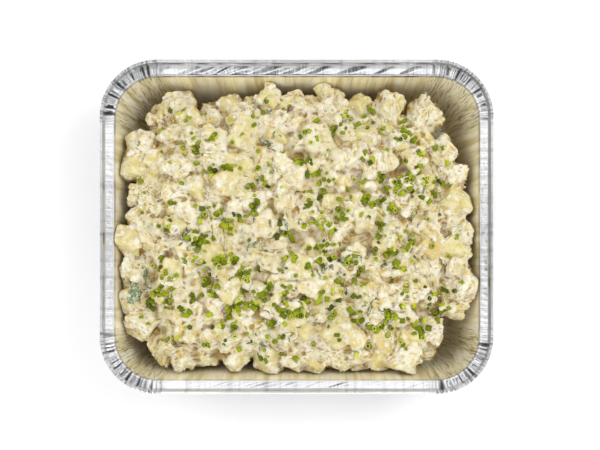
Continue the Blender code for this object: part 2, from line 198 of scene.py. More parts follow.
# Chopped chives, as in the solid, in clusters as (x, y, count) with the plan in millimetres
CHIVE_CLUSTERS = in_metres((
    (-86, 64, 9), (-67, 70, 5), (-70, 43, 5), (-50, 47, 3), (-34, 88, 3), (-28, 36, 3), (-25, 54, 3),
    (5, 48, 10), (9, 73, 4), (38, 93, 4), (61, 99, 4), (50, 85, 3), (32, 77, 4), (58, 56, 4),
    (66, 78, 3), (75, 70, 3), (90, 82, 8), (95, 66, 5), (116, 64, 3), (90, 41, 16), (84, 30, 6),
    (105, 38, 5), (118, 36, 4), (109, 27, 3), (128, 37, 3), (71, 28, 5), (69, 43, 4), (48, 33, 5),
    (55, 25, 4), (17, 26, 3), (11, 18, 3), (27, 36, 2), (61, 18, 4), (76, 16, 7), (68, 1, 5),
    (51, 8, 1), (35, 5, 4), (25, -1, 6), (17, 6, 4), (9, 1, 3), (17, -15, 7), (21, -27, 5), (9, -33, 2),
    (78, -19, 10), (91, -11, 6), (88, -32, 4), (79, -34, 3), (49, -29, 4), (38, -24, 3), (47, -39, 4),
    (63, -25, 3), (-9, -7, 7), (-5, -24, 4), (-51, 4, 11), (-60, 12, 4), (-76, 11, 5), (-32, 17, 5),
    (-39, 9, 3), (-81, -13, 11), (-71, -15, 4), (-63, -25, 6), (-50, -25, 6), (-42, -41, 14),
    (-75, -46, 7), (-68, -39, 1), (-83, -28, 4), (-84, -57, 3), (-68, -55, 4), (-46, -62, 14),
    (-28, -56, 8), (-11, -58, 6), (-33, -66, 5), (-53, -67, 6), (-5, -73, 9), (-20, -79, 3),
    (-63, -81, 3), (-52, -85, 4), (8, -63, 5), (22, -57, 5), (-14, -87, 5), (33, -70, 3), (50, -73, 8),
    (61, -82, 2), (71, -73, 11), (87, -62, 6), (89, -74, 2), (101, -80, 7), (113, -83, 6), (96, -89, 4),
    (117, -66, 4), (126, -71, 4), (111, -57, 3), (110, -95, 5), (120, -49, 4), (93, -47, 3),
    (-112, -33, 6), (-111, -53, 10), (-99, -41, 3), (-121, -63, 3), (-104, -65, 3), (-88, -76, 5),
    (-106, 1, 5), (-126, -74, 3), (-104, -91, 3), (-73, -95, 3), (-6, -47, 2), (49, -53, 2),
    (32, -55, 3), (-21, -108, 1), (-4, -108, 2), (59, -99, 2), (-47, -98, 1), (-136, -15, 1),
), 2)
CHIVE_SEED = 8
CHIVE_RADIUS = (0.0011, 0.0020)
CHIVE_LENGTH = (0.0024, 0.0062)
CHIVE_TILT = 0.5
CHIVE_SPREAD = 0.0016
CHIVE_SPREAD_GROWTH = 0.0009
CHIVE_LEVEL = 0.95
CHIVE_STRAYS = 150
# Their looks: smallest bits, growth, form, lift, shade, and how the upright ones differ
CHIVE_LOOK_SEED = 77
CHIVE_BIT_SEED = 78
CHIVE_BITS = 130
CHIVE_BIT_RADIUS = (0.0009, 0.0014)
CHIVE_BIT_LENGTH = (0.0016, 0.0034)
CHIVE_BIT_SPREAD = 0.008
CHIVE_GROWTH = 1.08
CHIVE_HOLLOW = 0.64
CHIVE_FLATNESS = (0.65, 1.0)
CHIVE_BEND = 0.1
CHIVE_LIFT = (0.1, 0.6)
CHIVE_SHADE = (0.47, 0.28)
CHIVE_SHADE_INSIDE = 0.45
UPRIGHT_SHARE = 0.38
UPRIGHT_GROWTH = 1.10
UPRIGHT_LENGTH = 1.8
UPRIGHT_LEAN = 0.5

# Torn herb leaves and chopped red onion: plan position, length and width in tenths of a millimetre,
# and turn in degrees
HERB_LEAVES = in_metres((
    (-230, 680, 120, 60, 0), (-1240, -370, 120, 45, 100), (-1310, -540, 170, 110, 80),
    (-220, 970, 90, 40, 60), (940, 100, 100, 28, 95), (-90, 30, 130, 26, 120),
    (-900, -60, 120, 70, 110), (-360, -140, 100, 34, 30), (210, -370, 90, 18, 80),
    (390, -260, 100, 36, 40), (590, -680, 90, 36, 70), (280, -720, 70, 36, 50),
    (-300, 400, 100, 20, 100), (-290, -950, 120, 24, 160),
), 4, 10000)
ONION_PIECES = in_metres((
    (-590, -690, 80, 55, 40), (750, 180, 60, 48, 20), (1360, -180, 75, 40, 80), (470, 460, 90, 20, 160),
    (-30, 980, 70, 36, 30), (-1090, 870, 60, 40, 70), (-970, -70, 50, 30, 10), (390, -510, 60, 40, 120),
), 4, 10000)
# For each kind: seed, large pieces, number of small ones round them, their lengths, widths and
# thickness, then the look's name, darkest and lightest colour, roughness and coat of dressing
STRIPS = {
    "dark_herb": (
        31, HERB_LEAVES, 170, (0.0030, 0.0095), (0.0005, 0.0017), 0.0004,
        ("herb_leaf", (36, 58, 26), (104, 124, 80), 0.45, 0.8),
    ),
    "red_onion": (
        32, ONION_PIECES, 60, (0.0020, 0.0055), (0.0008, 0.0024), 0.0007,
        ("onion_skin", (124, 58, 92), (208, 178, 180), 0.40, 0.6),
    ),
}
STRIPS_BESIDE = 0.55
STRIP_SPREAD = 0.006
STRIP_LIFT = (0.0002, 0.0009)
STRIP_CLEAR = 0.005
STRIP_LEAN = 0.4
STRIP_CURL = (-0.20, 0.02)
# Narrow strips are bowed sideways: least ratio of length to width, greatest bow
STRIP_BOW = (3, 0.35)
# As shares of the width: the ends, the ragged sides, the sideways waver and the crown
STRIP_POINT = 0.30
STRIP_RAGGED = (0.65, 1.25)
STRIP_WAVER = 0.1
STRIP_CROWN = 0.3

# Dressing: fineness, lumps of crumbled potato in it, and how far it fills the gaps between potatoes
VOXEL = 0.00100
DRESSING_FACES = 192000
LUMP_SEED = 5
LUMP_COUNT = 1500
LUMP_RADIUS = (0.0018, 0.0052, 2)
LUMP_STRETCH = (0.7, 1.3)
LUMP_JAGGED = (0.8, 1.2)
LUMP_SINK = 0.25
LUMP_CLEAR = 0.003
# What the tray hides: greatest distance from its wall, height and upward way, and how much goes
HIDDEN_MARGIN = WALL_GAP + 0.0006
HIDDEN_HEIGHT = 0.004
HIDDEN_UPWARD = 0.5
HIDDEN_THINNED = 0.9
SMOOTHING_STEPS = 1
GAP_FILLED = 0.72
GAP_LEFT = 0.0015
GAP_DEEPEST = 0.010
OPEN_ABOVE = (0.15, 0.60)
# Its relief: depth, size of the features and seed
BROAD_RELIEF = (0.0008, 0.0120, 45)
ROUND_RELIEF = (0.0014, 0.0125, 47)
CREASED_RELIEF = (0.0007, 0.0080, 50)
FINE_RELIEF = (0.00085, 0.0031, 55)
DRAGGED_RELIEF = (0.0008, 60)
RELIEF_FADE = 0.0020
# Where shade is painted on the dressing: what counts as deep, as height over the surroundings, and as a
# crease, as distance under them
HOLLOW_SHADE_RANGE = (-0.006, 0.001)
CREASE_SHADE_RANGE = (0.00004, 0.00045)
CREASE_BLUR = 5

# Crumbs: radius with the power that favours small ones, stretch along, across and up, and clearance
# to the wall in radii
CRUMB_SEED = 6
CRUMB_COUNT = 1300
CRUMB_RADIUS = (0.0005, 0.0015, 2.5)
CRUMB_STRETCH = ((1.0, 2.2), (0.7, 1.0), 0.7)
CRUMB_JAGGED = (0.72, 1.2)
CRUMB_LEAN = 0.7
CRUMB_SINK = (-0.1, 0.45)
CRUMB_CLEAR = 1.6

# Studio light: pitch, phase and radiance of the panels overhead, as seen at unit height
PANEL_PITCH = (0.42, 0.40)
PANEL_PHASE = (3.21, 2.262)
PANEL_GAP = 0.03
PANEL_LIGHT = 1.24
PANEL_EDGE = (0.70, 0.85)
PANEL_LOWEST = 0.12
HORIZON_GREY = 0.62
# Lamps: name, place, size, power and whether foil mirrors them
LAMPS = (
    ("key", (0.70, 0.32, 0.75), (0.50, 0.50), 4.9, False),
    ("fill", (-0.80, 0.20, 0.70), (0.60, 0.60), 3.1, False),
    ("front", (-0.1, -0.9, 0.55), (0.9, 0.4), 3.2, True),
)
LAMP_TARGET = (0.0, 0.0, 0.05)
FLOOR_SIZE = 6.0
FLOOR_LEVEL = -0.0002

UP = Vector((0, 0, 1))
QUADRANTS = ((1, 1), (-1, 1), (-1, -1), (1, -1))


# General helpers


def link(name, data):
    obj = bpy.data.objects.new(name, data)
    bpy.context.scene.collection.objects.link(obj)
    return obj


def mesh_object(name, points, faces, material=None):
    mesh = bpy.data.meshes.new(name)
    mesh.from_pydata(points, [], faces)
    mesh.update()
    if material:
        mesh.materials.append(material)
    mesh.shade_smooth()
    return link(name, mesh)


def lofted(name, rings, material=None):
    """An object that skins rings of points one after another, closed at both ends."""
    points = [tuple(point) for row in rings for point in row]
    around = len(rings[0])
    last = len(points) - around
    faces = []
    for start in range(0, last, around):
        for k in range(around):
            this, following = start + k, start + (k + 1) % around
            faces.append((this, following, following + around, this + around))
    faces += [list(range(around)), list(range(last, last + around))]
    obj = mesh_object(name, points, faces, material)
    bm = bmesh.new()
    bm.from_mesh(obj.data)
    bmesh.ops.recalc_face_normals(bm, faces=bm.faces)
    bm.to_mesh(obj.data)
    bm.free()
    return obj


def mesh_data(bm):
    """Points and faces of a bmesh, which is freed."""
    bm.verts.index_update()
    points = [v.co.copy() for v in bm.verts]
    faces = [[v.index for v in f.verts] for f in bm.faces]
    bm.free()
    return points, faces


def rough_ball():
    """Points and faces of a coarse ball of unit radius."""
    bm = bmesh.new()
    bmesh.ops.create_icosphere(bm, subdivisions=1, radius=1.0)
    return mesh_data(bm)


def modified(obj, kind, **settings):
    """Changes an object's mesh by a modifier."""
    modifier = obj.modifiers.new(kind, kind)
    for key, value in settings.items():
        setattr(modifier, key, value)
    graph = bpy.context.evaluated_depsgraph_get()
    mesh = bpy.data.meshes.new_from_object(obj.evaluated_get(graph))
    obj.modifiers.clear()
    obj.data = mesh


def vectors(items, key):
    flat = np.empty(len(items) * 3, np.float32)
    items.foreach_get(key, flat)
    return flat.reshape(-1, 3).astype(float)


def vertex_array(mesh):
    return vectors(mesh.vertices, "co")


def normal_array(mesh):
    return vectors(mesh.vertex_normals, "vector")


def set_attribute(mesh, name, values):
    attribute = mesh.attributes.new(name, "FLOAT", "POINT")
    attribute.data.foreach_set("value", values.astype(np.float32))


def smoothstep(low, high, value):
    share = np.clip((value - low) / (high - low), 0, 1)
    return share * share * (3 - 2 * share)


def anywhere(draw):
    """A random plan position within the rim."""
    return [draw.uniform(-1, 1) * reach / 2 for reach in (RIM_LENGTH, RIM_WIDTH)]


def placed_on(point, direction):
    """Frame at a point with its +Z along a direction."""
    return Matrix.Translation(point) @ UP.rotation_difference(direction).to_matrix().to_4x4()


def turned(angle, lean, axis):
    """A lean about an axis, then a turn about Z."""
    return Matrix.Rotation(angle, 4, "Z") @ Matrix.Rotation(lean, 4, axis)


def noise(points, size, seed):
    """Smooth noise from -1 to 1, with features about size across."""
    table = np.random.default_rng(seed).uniform(-1, 1, (32, 32, 32))
    cell = np.asarray(points) / size
    base = np.floor(cell).astype(int)
    part = cell - base
    part = part * part * (3 - 2 * part)
    total = np.zeros(len(cell))
    for corner in range(8):
        step = np.array([corner & 1, corner >> 1 & 1, corner >> 2 & 1])
        weight = np.prod(np.where(step, part, 1 - part), axis=1)
        index = (base + step) % 32
        total += weight * table[index[:, 0], index[:, 1], index[:, 2]]
    return total


def fractal(points, size, seed, octaves=2):
    return sum(noise(points, size / 2**k, seed + k) / 2**k for k in range(octaves))


def smear(points, seed, size=0.0036, drawn=3.2, patch=0.045, sway=0.006, sway_size=0.026):
    """Noise drawn out into streaks, as a spoon drags soft food, each patch its own way."""
    bend = np.stack([noise(points, sway_size, seed + k) for k in range(3)], axis=1)
    turn = math.pi * noise(points, patch, seed + 3)
    x, y, z = (points + sway * bend).T
    along, across = x * np.cos(turn) + y * np.sin(turn), y * np.cos(turn) - x * np.sin(turn)
    return noise(np.stack([along / drawn, across, z], axis=1), size, seed + 4)


def billow(points, size, seed, lowest=-0.6):
    """Rounded lumps with sharp creases between them, over a range of 2."""
    return 2 * np.abs(noise(points, size, seed)) + lowest


# Materials


def linear(value):
    """Light for a display value from 0 to 255."""
    share = value / 255
    return share / 12.92 if share <= 0.04045 else ((share + 0.055) / 1.055) ** 2.4


def as_colour(value):
    """A number as a grey, three display values as a colour, and another node's output as it is."""
    if isinstance(value, float):
        return (value, value, value, 1.0)
    return (*map(linear, value), 1.0) if isinstance(value, tuple) else value


class Nodes:
    """A node tree with short ways to add and join nodes."""

    def __init__(self, owner):
        owner.use_nodes = True
        self.tree = owner.node_tree

    def put(self, value, socket):
        """Links another node's output to a socket, or sets a plain value."""
        if isinstance(value, bpy.types.NodeSocket):
            self.tree.links.new(value, socket)
        else:
            socket.default_value = value

    def add(self, kind, inputs=None, **settings):
        node = self.tree.nodes.new("ShaderNode" + kind)
        for key, value in settings.items():
            setattr(node, key, value)
        for key, value in (inputs or {}).items():
            self.put(value, node.inputs[key])
        return node

    def math(self, operation, *values):
        return self.add("Math", dict(enumerate(values)), operation=operation).outputs[0]

    def ramp(self, value, *stops):
        """Colours along a value, from (place, colour) pairs."""
        node = self.add("ValToRGB", {"Fac": value})
        elements = node.color_ramp.elements
        while len(elements) < len(stops):
            elements.new(0.5)
        for element, (place, colour) in zip(elements, stops):
            element.position = place
            element.color = as_colour(colour)
        return node.outputs["Color"]

    def mix(self, factor, first, second, blend="MIX"):
        inputs = {0: factor, 6: as_colour(first), 7: as_colour(second)}
        return self.add("Mix", inputs, data_type="RGBA", blend_type=blend).outputs[2]


class Shading(Nodes):
    """A node material."""

    def __init__(self, name):
        self.material = bpy.data.materials.new(name)
        super().__init__(self.material)
        self.shader = self.tree.nodes["Principled BSDF"]
        self.place = self.add("TexCoord").outputs["Object"]

    def set(self, **inputs):
        for key, value in inputs.items():
            self.put(value, self.shader.inputs[key.replace("_", " ")])
        return self.material

    def attribute(self, name):
        return self.add("Attribute", attribute_name=name).outputs["Fac"]

    def moved(self, **inputs):
        return self.add("Mapping", inputs).outputs["Vector"]

    def noise(self, scale, detail=3.0, roughness=0.5, vector=None, distortion=0.0):
        inputs = {"Vector": vector or self.place, "Scale": scale, "Detail": detail}
        inputs |= {"Roughness": roughness, "Distortion": distortion}
        return self.add("TexNoise", inputs).outputs["Fac"]

    def bump(self, height, strength, distance, normal=None):
        inputs = {"Height": height, "Strength": strength, "Distance": distance}
        if normal:
            inputs["Normal"] = normal
        return self.add("Bump", inputs).outputs["Normal"]

    def over(self, colour, tone, value, *stops):
        """A colour with a tone laid over it, in shares along a value."""
        return self.mix(self.ramp(value, *stops), colour, tone)

    def grainy(self, colour, grain, rough, spread, relief, under=None):
        """Sets a soft food's colour and, after its grain, its least and greatest roughness and relief. The
        spread is the weight, radii and scale of light under the surface."""
        weight, radius, scale = spread
        return self.set(
            Base_Color=colour,
            Roughness=self.ramp(grain, (0.3, rough[0]), (0.7, rough[1])),
            Subsurface_Weight=weight,
            Subsurface_Radius=radius,
            Subsurface_Scale=scale,
            Normal=self.bump(grain, *relief, under),
        )


def foil_material():
    """Bright above on the flange with painted shade in its pleats and creases; satin down the walls,
    tinted by the salad as a painted reflection.
    """
    look = Shading("bright_foil")
    height = look.add("SeparateXYZ", {"Vector": look.place}).outputs["Z"]
    below, corner, satin, foil_painted_shade = map(look.attribute, ("inside", "corner", "satin", "foil_painted_shade"))
    wander = look.math("MULTIPLY", look.noise(90.0, 2.0), corner)
    along = look.math("MULTIPLY_ADD", wander, CREASE_WANDER, look.attribute("around"))
    around = look.add("CombineXYZ", {"X": along, "Y": height}).outputs["Vector"]
    stretched = look.moved(Vector=around, Scale=(950.0, 64.0, 1.0), Rotation=(0.0, 0.0, 0.05))
    scratch = look.noise(1.0, 3.0, 0.6, stretched, 1.0)
    band = look.noise(1.0, 3.0, 0.55, look.moved(Vector=around, Scale=(150.0, 14.0, 1.0)))
    dents = look.noise(150.0, 1.0)
    smudge = look.noise(38.0, 3.0)
    bright = look.ramp(smudge, (0.3, (232, 233, 236)), (0.7, (246, 246, 246)))
    # Painted shade: dark grey lines in the corners' creases on the flange
    painted_flange_crease_shade = look.mix(corner, 0.0, look.ramp(scratch, (0.40, 0.90), (0.48, 0.0)))
    bright = look.mix(painted_flange_crease_shade, bright, (134, 136, 142))
    bright = look.over(bright, (184, 186, 191), band, (0.34, 0.45), (0.48, 0.0))
    # Painted shade: pleat floors, the bead's inner side and the far edges darken towards grey
    bright = look.mix(foil_painted_shade, bright, (66, 67, 68))
    outside = look.ramp(height, (OUTSIDE_TOP[0], 1.0), (OUTSIDE_TOP[1], 0.0))
    streaks = look.mix(outside, 0.0, look.ramp(band, (0.34, 0.70), (0.54, 0.0)))
    bright = look.mix(streaks, bright, (120, 123, 130))
    # The walls' cream colour, lighter and darker in vertical bands, is a painted reflection of the salad
    inner = look.ramp(
        band, (0.36, (214, 201, 152)), (0.5, (244, 235, 196)), (0.64, (253, 248, 224)),
    )
    # Painted shade and painted highlights along the walls' creases: dark and light lines in the corners,
    # faint dark streaks on the straight sides
    painted_wall_streak_shade = look.ramp(scratch, (0.32, 0.35), (0.40, 0.0))
    painted_wall_crease_shade = look.mix(corner, painted_wall_streak_shade, look.ramp(scratch, (0.39, 0.75), (0.47, 0.0)))
    painted_wall_crease_highlight = look.mix(corner, 0.0, look.ramp(scratch, (0.55, 0.0), (0.60, 0.8)))
    inner = look.mix(painted_wall_crease_shade, inner, (116, 108, 60))
    inner = look.mix(painted_wall_crease_highlight, inner, (253, 247, 224))
    return look.set(
        Base_Color=look.mix(below, bright, inner),
        Metallic=look.mix(below, look.ramp(satin, (0.0, 1.0), (1.0, 0.15)), 0.20),
        Roughness=look.mix(below, look.ramp(smudge, (0.3, 0.09), (0.75, 0.16)), 0.34),
        Normal=look.bump(scratch, 0.25, 0.0003, look.bump(dents, 0.12, 0.0007)),
    )


def creamy_colour(look):
    """Colour of the dressing: near white, patched with pale potato, beige, ochre and grey-green."""
    colour = look.ramp(
        look.noise(150.0, 3.0, 0.5, None, 1.0),
        (0.34, (204, 188, 118)), (0.42, (220, 210, 168)), (0.50, (228, 222, 194)),
        (0.62, (232, 227, 210)),
    )
    # Patches: offset and size of their noise, its range, greatest share, colour
    for offset, size, low, high, most, tone in (
        (1.0, 75.0, 0.53, 0.64, 0.75, (214, 192, 108)),
        (2.0, 100.0, 0.53, 0.65, 0.55, (224, 206, 180)),
        (3.0, 90.0, 0.63, 0.69, 0.80, (198, 160, 66)),
        (4.0, 66.0, 0.60, 0.74, 0.40, (176, 178, 134)),
        # Fine darker specks, partly painted shade, and fine white specks, which are painted highlights
        (5.0, 420.0, 0.56, 0.64, 0.22, (192, 170, 104)),
        (6.0, 480.0, 0.56, 0.64, 0.35, (250, 247, 234)),
        (7.0, 60.0, 0.62, 0.72, 0.25, (208, 188, 190)),
        (8.0, 34.0, 0.50, 0.66, 0.50, (201, 186, 128)),
    ):
        moved = look.moved(Vector=look.place, Location=(offset, 0.0, 0.0))
        patches = look.noise(size, 2.5, 0.55, moved, 0.8)
        colour = look.over(colour, tone, patches, (low, 0.0), (high, most))
    return colour


def dressing_material():
    look = Shading("creamy_dressing")
    depth, crease = map(look.attribute, ("depth", "crease"))
    # Painted shade: ochre-brown in the creases and in the hollows, where shade falls
    colour = look.over(creamy_colour(look), (156, 122, 12), crease, (0.25, 0.0), (0.95, 0.85))
    colour = look.over(colour, (146, 108, 4), depth, (0.05, 0.95), (0.72, 0.0))
    grain = look.noise(620.0, 3.0, 0.6)
    drag = look.bump(look.noise(240.0, 2.0, 0.5, None, 1.5), 0.60, 0.0016)
    spread = (0.06, (1.0, 0.75, 0.38), 0.0010)
    return look.grainy(colour, grain, (0.26, 0.48), spread, (0.40, 0.0006), drag)


def potato_material():
    look = Shading("boiled_potato")
    flesh = look.ramp(
        look.noise(150.0, 4.0, 0.6),
        (0.32, (202, 184, 114)), (0.5, (217, 205, 148)), (0.68, (228, 220, 184)),
    )
    tint, smeared, upward_for_painted_shade = map(look.attribute, ("tint", "smear", "upward_for_painted_shade"))
    flesh = look.over(flesh, (206, 172, 100), tint, (0.75, 0.0), (1.0, 0.6))
    cream = look.mix(smeared, 0.0, look.noise(210.0, 5.0, 0.7), "ADD")
    colour = look.mix(look.ramp(cream, (0.56, 0.0), (0.62, 1.0)), flesh, creamy_colour(look))
    # Painted shade: ochre on faces turned away from up
    colour = look.over(colour, (184, 150, 60), upward_for_painted_shade, (0.0, 0.75), (0.6, 0.0))
    look.set(Specular_IOR_Level=0.45)
    grain, coat = look.noise(700.0, 3.0, 0.6), look.bump(cream, 0.35, 0.0009)
    spread = (0.22, (1.0, 0.78, 0.36), 0.0018)
    return look.grainy(colour, grain, (0.28, 0.50), spread, (0.45, 0.0007), coat)


def crumb_material():
    look = Shading("crumbled_potato")
    body = look.ramp(
        look.attribute("shade"),
        (0.0, (200, 172, 106)), (0.06, (210, 194, 140)), (0.3, (218, 208, 170)),
        (0.75, (227, 222, 204)), (1.0, (216, 202, 148)),
    )
    grain = look.noise(900.0, 3.0, 0.6)
    body = look.over(body, (230, 226, 210), grain, (0.4, 0.0), (0.75, 0.4))
    return look.grainy(body, grain, (0.28, 0.50), (0.15, (1.0, 0.78, 0.40), 0.0008), (0.45, 0.0004))


def chive_material():
    look = Shading("chopped_chive")
    green = look.ramp(
        look.attribute("shade"),
        (0.0, (66, 76, 2)), (0.3, (104, 118, 2)), (0.6, (142, 156, 6)),
        (0.85, (178, 188, 30)), (1.0, (210, 212, 100)),
    )
    streak = look.noise(700.0, 2.0)
    return look.set(
        Base_Color=look.over(green, (92, 98, 2), streak, (0.40, 0.0), (0.75, 0.35)),
        Roughness=0.42,
        Specular_IOR_Level=0.2,
        Normal=look.bump(streak, 0.25, 0.0002),
    )


def flake_material(name, dark, light, roughness, coat):
    """A thin chopped leaf or onion, its colour varying from piece to piece, part coated in dressing."""
    look = Shading(name)
    grain = look.noise(600.0, 3.0)
    coated = look.ramp(look.noise(420.0, 4.0, 0.65, None, 1.0), (0.47, 0.0), (0.57, coat))
    body = look.mix(coated, look.mix(look.attribute("shade"), dark, light), (214, 214, 192))
    return look.set(
        Base_Color=look.mix(look.ramp(grain, (0.4, 0.0), (0.75, 0.4)), body, light),
        Roughness=roughness,
        Subsurface_Weight=0.15,
        Subsurface_Radius=(0.8, 0.8, 0.6),
        Subsurface_Scale=0.0008,
        Normal=look.bump(grain, 0.3, 0.0003),
    )


def floor_material():
    look = Shading("pale_floor")
    pale = look.ramp(look.noise(6.0, 2.0), (0.3, 0.90), (0.7, 0.92))
    return look.set(Base_Color=pale, Roughness=0.7)


# Tray


def corner_radius(inset):
    """Plan radius of the tray's corners at an inset from the rim's outermost line."""
    share = np.clip((inset - MOUTH_INSET) / (BASE_INSET - MOUTH_INSET), 0, 1)
    beyond = MOUTH_CORNER + (BASE_CORNER - MOUTH_CORNER) * share
    return np.where(inset <= MOUTH_INSET, RIM_CORNER - inset, beyond)


def corner_form(inset):
    """The corners' radius, and how far their centres lie from the middle along x and y."""
    radius = corner_radius(inset)
    return radius, RIM_LENGTH / 2 - inset - radius, RIM_WIDTH / 2 - inset - radius


class Outline:
    """Points round the tray: for each its outward angle, quadrant, share of the straight side that it
    lies on, distance along the mouth, and how far it belongs to a corner."""

    def __init__(self):
        straight = (RIM_WIDTH - 2 * RIM_CORNER, RIM_LENGTH - 2 * RIM_CORNER)
        turn = math.radians(90)
        rows = []
        along = 0.0
        for quadrant in range(4):
            for k in range(CORNER_POINTS):
                share = k / CORNER_POINTS
                angle = turn * (quadrant + share)
                rows.append((angle, quadrant, 0.0, along + share * turn * MOUTH_CORNER, 1.0))
            along += turn * MOUTH_CORNER
            length = straight[1 - quadrant % 2]
            count = int(length / SIDE_PITCH)
            for k in range(count):
                share = k / count
                near = min(share, 1 - share) * length
                corner = float(1 - smoothstep(0.0, CORNER_FADE, near))
                rows.append((turn * (quadrant + 1), quadrant, share, along + share * length, corner))
            along += length
        self.angle, quadrant, self.share, self.along, self.corner = np.array(rows).T
        self.quadrant = quadrant.astype(int)
        self.length = along

    def plan(self, inset):
        """Plan position at an inset, which may differ from point to point."""
        radius, reach_x, reach_y = corner_form(inset)
        sign_x, sign_y = np.array(QUADRANTS).T
        here, after = self.quadrant, (self.quadrant + 1) % 4
        x = reach_x * (sign_x[here] * (1 - self.share) + sign_x[after] * self.share)
        y = reach_y * (sign_y[here] * (1 - self.share) + sign_y[after] * self.share)
        return x + radius * np.cos(self.angle), y + radius * np.sin(self.angle)

    def folds(self, kind, share=0.0):
        """A random zigzag along the outline, drifting along it with the share."""
        seed, spacing, depth, drift, blur = FOLDS[kind]
        draw = random.Random(seed)
        knots, values, side = [0.0], [0.0], 1
        while knots[-1] < self.length - spacing[1]:
            knots.append(knots[-1] + draw.uniform(*spacing))
            values.append(side * draw.uniform(0.3, 1.0))
            side = -side
        places = self.along + drift * share
        offsets = np.linspace(-blur, blur, 7) if blur else [0.0]
        samples = [np.interp(places + offset, knots, values, period=self.length) for offset in offsets]
        return depth * np.mean(samples, axis=0)


def arc(part, centre, radius, start, end, count):
    """Lines of a part that is an arc in cross-section, by angle in degrees from +inset to +height."""
    lines = []
    for k, angle in enumerate(np.radians(np.linspace(start, end, count))):
        inset = centre[0] + radius * math.cos(angle)
        lines.append((inset, centre[1] + radius * math.sin(angle), part, k / (count - 1)))
    return lines


def by_side(angle, values):
    """A value for each side of the tray, from the right side anticlockwise, blended round the corners."""
    ways = (np.cos(angle), np.sin(angle), -np.cos(angle), -np.sin(angle))
    return sum(value * np.maximum(way, 0) ** 2 for value, way in zip(values, ways))


def tray_profile():
    """Cross-section of the foil's upper face from the floor to the end of the rolled bead, as lines
    (inset, height) with the part of the tray that each belongs to and its share of that part."""
    foot = MOUTH_INSET + WALL_DRAFT
    low = (foot, FOIL + BASE_ROUND)
    high = (MOUTH_INSET + MOUTH_ROUND, FLANGE_HEIGHT - MOUTH_ROUND)
    lines = arc("base", (foot + BASE_ROUND, FOIL + BASE_ROUND), BASE_ROUND, 270, 180, 6)
    for k in range(1, WALL_ROWS):
        share = k / WALL_ROWS
        inset, height = (start + (end - start) * share for start, end in zip(low, high))
        lines.append((inset, height, "wall", share))
    lines += arc("mouth", (MOUTH_INSET, FLANGE_HEIGHT - MOUTH_ROUND), MOUTH_ROUND, 0, 90, 5)
    for k in range(1, FLANGE_ROWS):
        share = k / FLANGE_ROWS
        lines.append((MOUTH_INSET - share * FLANGE_WIDTH, FLANGE_HEIGHT, "flange", share))
    step_foot = 2 * BEAD_RADIUS + STEP_RUN
    for across, up, part, share in STEP_LINES:
        lines.append((step_foot + across, FLANGE_HEIGHT + up, part, share))
    lines += arc("bead", (BEAD_RADIUS, TRAY_HEIGHT - BEAD_RADIUS), BEAD_RADIUS, 25, 325, 15)
    return lines


def profile_normals(points):
    """Unit normals of a cross-section, to the side of the foil's upper face."""
    tangent = np.gradient(points, axis=0)
    normal = np.stack([tangent[:, 1], -tangent[:, 0]], axis=1)
    return normal / np.linalg.norm(normal, axis=1)[:, None]


def bead_side(part, share):
    """1 on the bead's inner side and the step below it, where the foil mirrors itself and shade is
    painted, and 0 elsewhere.
    """
    return float(smoothstep(*BEAD_SPAN, share)) if part == "bead" else float(part == "step")


def fold_depth(outline, part, share):
    """How far the foil stands off its plain form along one line of the cross-section, round the tray."""
    corner, side = outline.corner, 1 - outline.corner
    depth = np.zeros(len(corner))
    if part in FOLD_RISE:
        below = 1 - share if part == "wall" else 0.0
        low, high, power = FOLD_RISE[part]
        rise = low + (high - low) * share**power
        depth += corner * rise * (outline.folds("pleat", below) + outline.folds("crease", below))
    if part == "wall":
        swell = outline.folds("swell") * math.sin(math.pi * share)
        depth += side * (swell + outline.folds("streak", share))
    if part in ("flange", "mouth"):
        reach = share if part == "flange" else 0.0
        short_side = np.abs(np.cos(outline.angle)) ** 8
        body = (1 - short_side) * outline.folds("long_wrinkle", reach)
        body += short_side * outline.folds("short_wrinkle", reach)
        body *= by_side(outline.angle, FLANGE_CREASING)
        least, shift = WRINKLE_RISE
        depth += side * body * (least + math.sin(math.pi * min(reach + shift, 1.0)))
    if part == "bead":
        depth += corner * outline.folds("bite") + side * outline.folds("ripple")
    return depth


def foil_marks(outline, part, share, depth):
    """Shares of painted shade, of wall foil tinted with a painted reflection of the salad, and of satin
    foil along one line of the cross-section.
    """
    corner = outline.corner
    sides = [by_side(outline.angle, values) for values in (MOUTH_SHADE, FLANGE_EDGE_SHADE, MOUTH_SATIN)]
    mouth, bead = float(part == "mouth"), bead_side(part, share)
    # Painted shade on the bead's inner side (stronger on some sides), the far mouth, the far flange edge
    # and the corners' pleat floors
    outer_edge = (part == "flange") * smoothstep(*EDGE_SPAN, share)
    mean, swing, turn = BEAD_SHADE
    shade = bead * (mean + swing * np.sin(outline.angle + turn)) + mouth * sides[0]
    shade = shade + outer_edge * sides[1]
    inside = np.full(len(depth), float(part in ("base", "wall")))
    painted_pleat_shade = (1 - inside) * corner * smoothstep(0.0, PLEAT_SHADE_DEPTH, -depth)
    satin = mouth * np.maximum(sides[2], MOUTH_SATIN_CORNER * corner) + STEP_SATIN * bead * corner
    return {"foil_painted_shade": np.maximum(painted_pleat_shade, shade), "inside": inside, "satin": satin}


